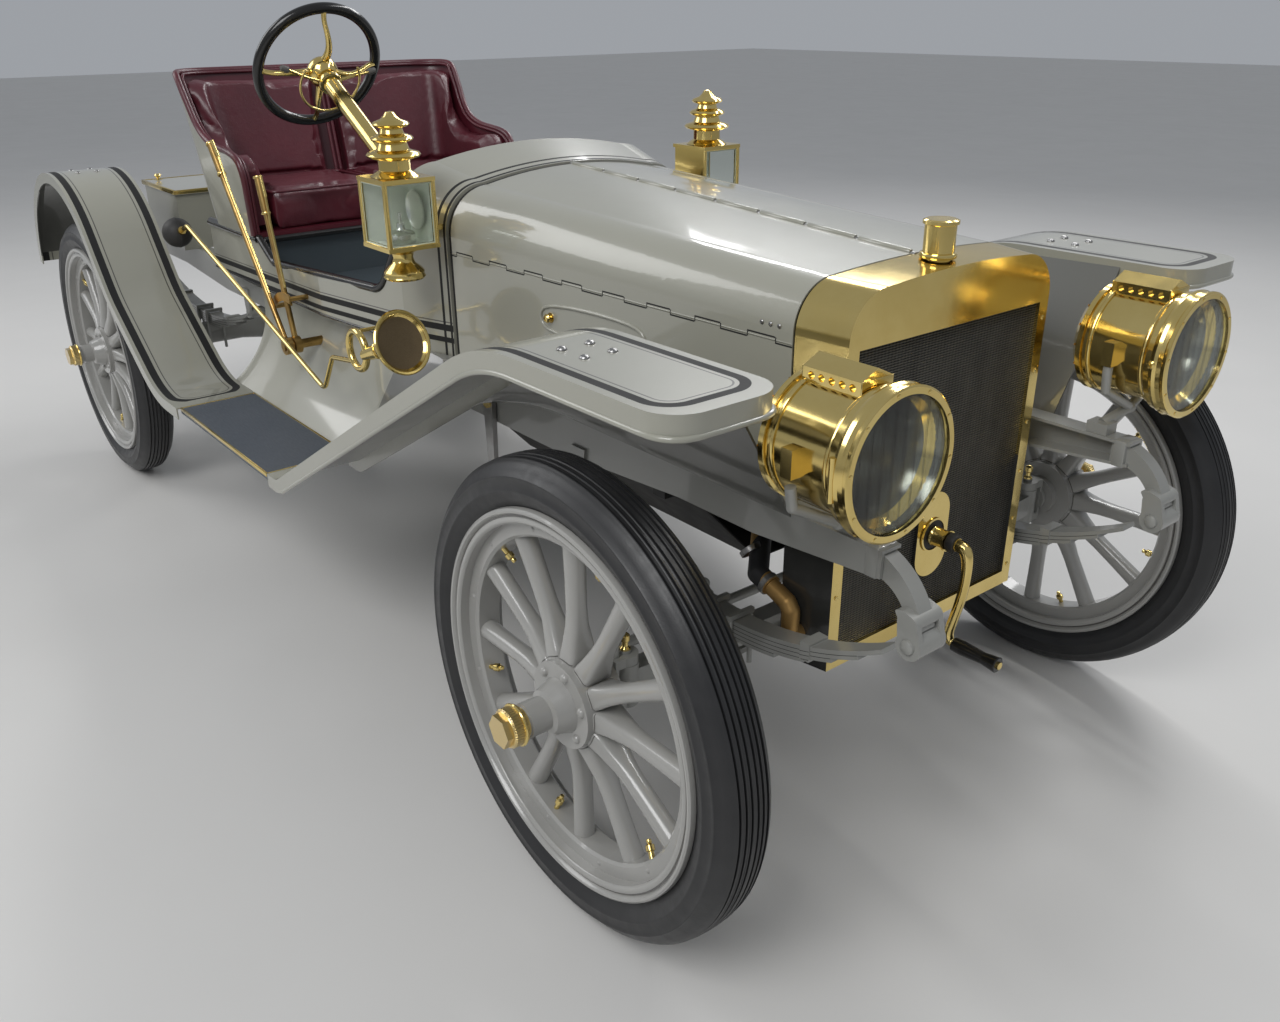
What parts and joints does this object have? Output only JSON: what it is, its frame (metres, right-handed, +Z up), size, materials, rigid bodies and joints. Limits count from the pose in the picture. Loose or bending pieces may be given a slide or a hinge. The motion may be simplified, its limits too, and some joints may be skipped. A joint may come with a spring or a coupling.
{
  "type": "brass era runabout",
  "caption": "Open brass era runabout, right-hand drive, with steered and turning wheels, lifting hood halves, a lidded box behind the seat and a starting crank.",
  "frame": {"origin": "on the ground under the middle of the car's length and width", "axes": "+X towards the front of the car, +Y towards its left side, +Z up"},
  "size_m": [3.798, 1.754, 1.545],
  "materials": {
    "grey_paint": "gloss",
    "black_paint": "gloss",
    "brass": "polished",
    "steel": "satin",
    "cast_iron": "matte",
    "core_black": "matte",
    "tyre_rubber": "matte",
    "black_rubber": "satin",
    "leather": "satin",
    "wood_black": "gloss",
    "lamp_glass": "gloss",
    "lino": "matte"
  },
  "bodies": {
    "chassis": {"body_floor": "grey_paint", "body_side_left": "grey_paint", "body_side_right": "grey_paint", "cowl": "grey_paint", "cross_members": "grey_paint", "engine": "cast_iron", "engine_pan": "black_paint", "front_axle": "grey_paint", "front_fenders": "grey_paint", "front_springs": "grey_paint", "hand_levers": "brass", "headlamps": "brass", "hood_hinge_rod": "steel", "horn": "brass", "horn_bulb": "black_rubber", "lamp_forks": "grey_paint", "lamp_glass": "lamp_glass", "muffler": "black_paint", "radiator_core": "core_black", "radiator_shell": "brass", "rear_axle": "grey_paint", "rear_box": "grey_paint", "rear_fenders": "grey_paint", "rear_springs": "grey_paint", "running_boards": "lino", "seat_back": "leather", "seat_cushions": "leather", "seat_shell": "grey_paint", "side_lamps": "brass", "side_rails": "grey_paint", "splash_aprons": "grey_paint", "spring_fittings": "steel", "steering_column": "brass", "step_irons": "grey_paint", "water_hose": "black_rubber"},
    "knuckle_right": {"knuckle_right": "grey_paint"},
    "knuckle_left": {"knuckle_left": "grey_paint"},
    "wheel_front_right": {"wheel_front_right": "grey_paint", "tyre_front_right": "tyre_rubber"},
    "wheel_front_left": {"wheel_front_left": "grey_paint", "tyre_front_left": "tyre_rubber"},
    "wheel_rear_right": {"wheel_rear_right": "grey_paint", "tyre_rear_right": "tyre_rubber"},
    "wheel_rear_left": {"wheel_rear_left": "grey_paint", "tyre_rear_left": "tyre_rubber"},
    "tie_rod": {"tie_rod": "grey_paint"},
    "drag_link": {"drag_link": "grey_paint"},
    "drop_arm": {"drop_arm": "steel"},
    "steering_wheel": {"steering_rim": "wood_black", "steering_spider": "brass"},
    "starting_crank": {"crank_arm": "brass", "crank_grip": "wood_black"},
    "hood_top_right": {"hood_top_right": "grey_paint"},
    "hood_top_left": {"hood_top_left": "grey_paint"},
    "hood_side_right": {"hood_side_right": "grey_paint"},
    "hood_side_left": {"hood_side_left": "grey_paint"},
    "box_lid": {"box_lid": "grey_paint"}
  },
  "joints": [
    {"name": "steer_right", "type": "hinge", "parent": "chassis", "child": "knuckle_right", "pos_m": [1.435, -0.61, 0.438], "axis": [0, 0, 1], "range_deg": [-25, 25]},
    {"name": "steer_left", "type": "hinge", "parent": "chassis", "child": "knuckle_left", "pos_m": [1.435, 0.61, 0.438], "axis": [0, 0, 1], "range_deg": [-25, 25]},
    {"name": "tie_rod_turn", "type": "hinge", "parent": "knuckle_right", "child": "tie_rod", "pos_m": [1.285, -0.61, 0.392], "axis": [0, 0, 1], "range_deg": [-25, 25]},
    {"name": "drag_link_turn", "type": "hinge", "parent": "knuckle_right", "child": "drag_link", "pos_m": [1.435, -0.425, 0.53], "axis": [0, 0, 1], "range_deg": [-25, 25]},
    {"name": "drop_arm_swing", "type": "hinge", "parent": "chassis", "child": "drop_arm", "pos_m": [0.655, -0.394, 0.706], "axis": [0, 1, 0], "range_deg": [-27, 27]},
    {"name": "steering_wheel_turn", "type": "hinge", "parent": "chassis", "child": "steering_wheel", "pos_m": [-0.293, -0.3, 1.388], "axis": [-0.8616, 0, 0.5075], "range_deg": [-375, 375]},
    {"name": "wheel_front_right_spin", "type": "hinge", "parent": "knuckle_right", "child": "wheel_front_right", "pos_m": [1.435, -0.711, 0.438], "axis": [0, 1, 0], "continuous": true},
    {"name": "wheel_rear_right_spin", "type": "hinge", "parent": "chassis", "child": "wheel_rear_right", "pos_m": [-1.377, -0.711, 0.438], "axis": [0, 1, 0], "continuous": true},
    {"name": "wheel_front_left_spin", "type": "hinge", "parent": "knuckle_left", "child": "wheel_front_left", "pos_m": [1.435, 0.711, 0.438], "axis": [0, 1, 0], "continuous": true},
    {"name": "wheel_rear_left_spin", "type": "hinge", "parent": "chassis", "child": "wheel_rear_left", "pos_m": [-1.377, 0.711, 0.438], "axis": [0, 1, 0], "continuous": true},
    {"name": "crank_turn", "type": "hinge", "parent": "chassis", "child": "starting_crank", "pos_m": [1.675, 0, 0.6], "axis": [1, 0, 0], "continuous": true},
    {"name": "hood_top_right_lift", "type": "hinge", "parent": "chassis", "child": "hood_top_right", "pos_m": [1.51, 0, 1.1205], "axis": [-0.9985, 0, 0.0549], "range_deg": [0, 70]},
    {"name": "hood_side_right_hang", "type": "hinge", "parent": "hood_top_right", "child": "hood_side_right", "pos_m": [1.51, -0.3005, 1.008], "axis": [-0.9987, -0.0502, 0], "range_deg": [-70, 0]},
    {"name": "hood_top_left_lift", "type": "hinge", "parent": "chassis", "child": "hood_top_left", "pos_m": [1.51, 0, 1.1205], "axis": [0.9985, 0, -0.0549], "range_deg": [0, 70]},
    {"name": "hood_side_left_hang", "type": "hinge", "parent": "hood_top_left", "child": "hood_side_left", "pos_m": [1.51, 0.3005, 1.008], "axis": [0.9987, -0.0502, 0], "range_deg": [-70, 0]},
    {"name": "box_lid_lift", "type": "hinge", "parent": "chassis", "child": "box_lid", "pos_m": [-1.302, 0, 0.9465], "axis": [0, 1, 0], "range_deg": [0, 95]}
  ],
  "couplings": [
    {"joint": "steer_left", "follows": "steer_right", "ratio": 1},
    {"joint": "tie_rod_turn", "follows": "steer_right", "ratio": -1},
    {"joint": "drag_link_turn", "follows": "steer_right", "ratio": -1},
    {"joint": "drop_arm_swing", "follows": "steer_right", "ratio": 1.05},
    {"joint": "steering_wheel_turn", "follows": "steer_right", "ratio": 15},
    {"joint": "hood_side_right_hang", "follows": "hood_top_right_lift", "ratio": -1},
    {"joint": "hood_side_left_hang", "follows": "hood_top_left_lift", "ratio": -1}
  ]
}
